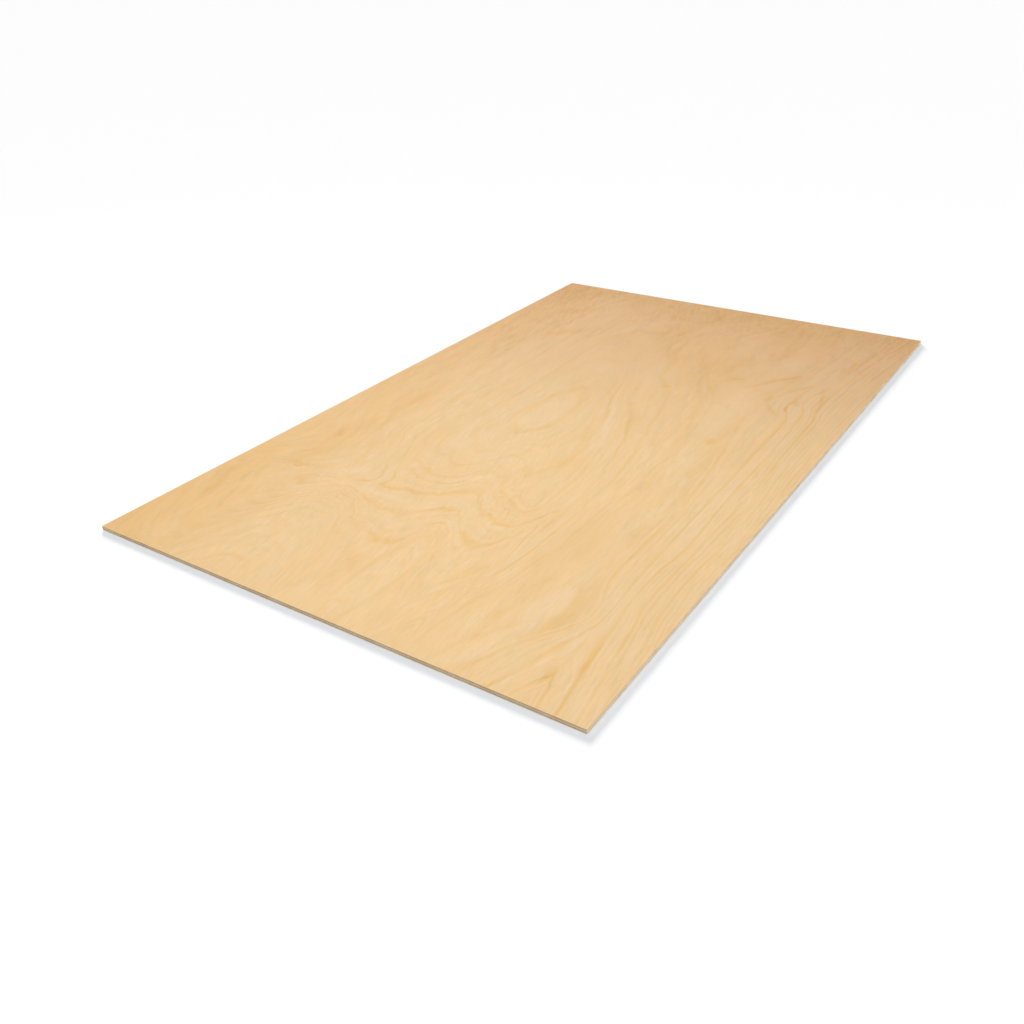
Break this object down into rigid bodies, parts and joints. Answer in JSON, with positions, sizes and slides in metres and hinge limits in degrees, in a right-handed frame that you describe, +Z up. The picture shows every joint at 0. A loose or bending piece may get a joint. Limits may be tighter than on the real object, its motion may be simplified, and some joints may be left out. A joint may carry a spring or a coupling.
{
  "type": "plywood sheet",
  "caption": "Full-size flat plywood sheet with cross-laid veneers shown on its square-sawn edges, for boarding, flooring and cutting to size.",
  "frame": {"origin": "middle of the back face, on the plane that the sheet lies on", "axes": "+Y along the length, which is the way the face grain runs, +X across the width, +Z up through the thickness, out of the best face"},
  "size_m": [1.525, 2.5, 0.0115],
  "materials": {
    "birch_plywood": "matte"
  },
  "bodies": {
    "root": {"plywood_sheet": "birch_plywood"}
  },
  "joints": []
}
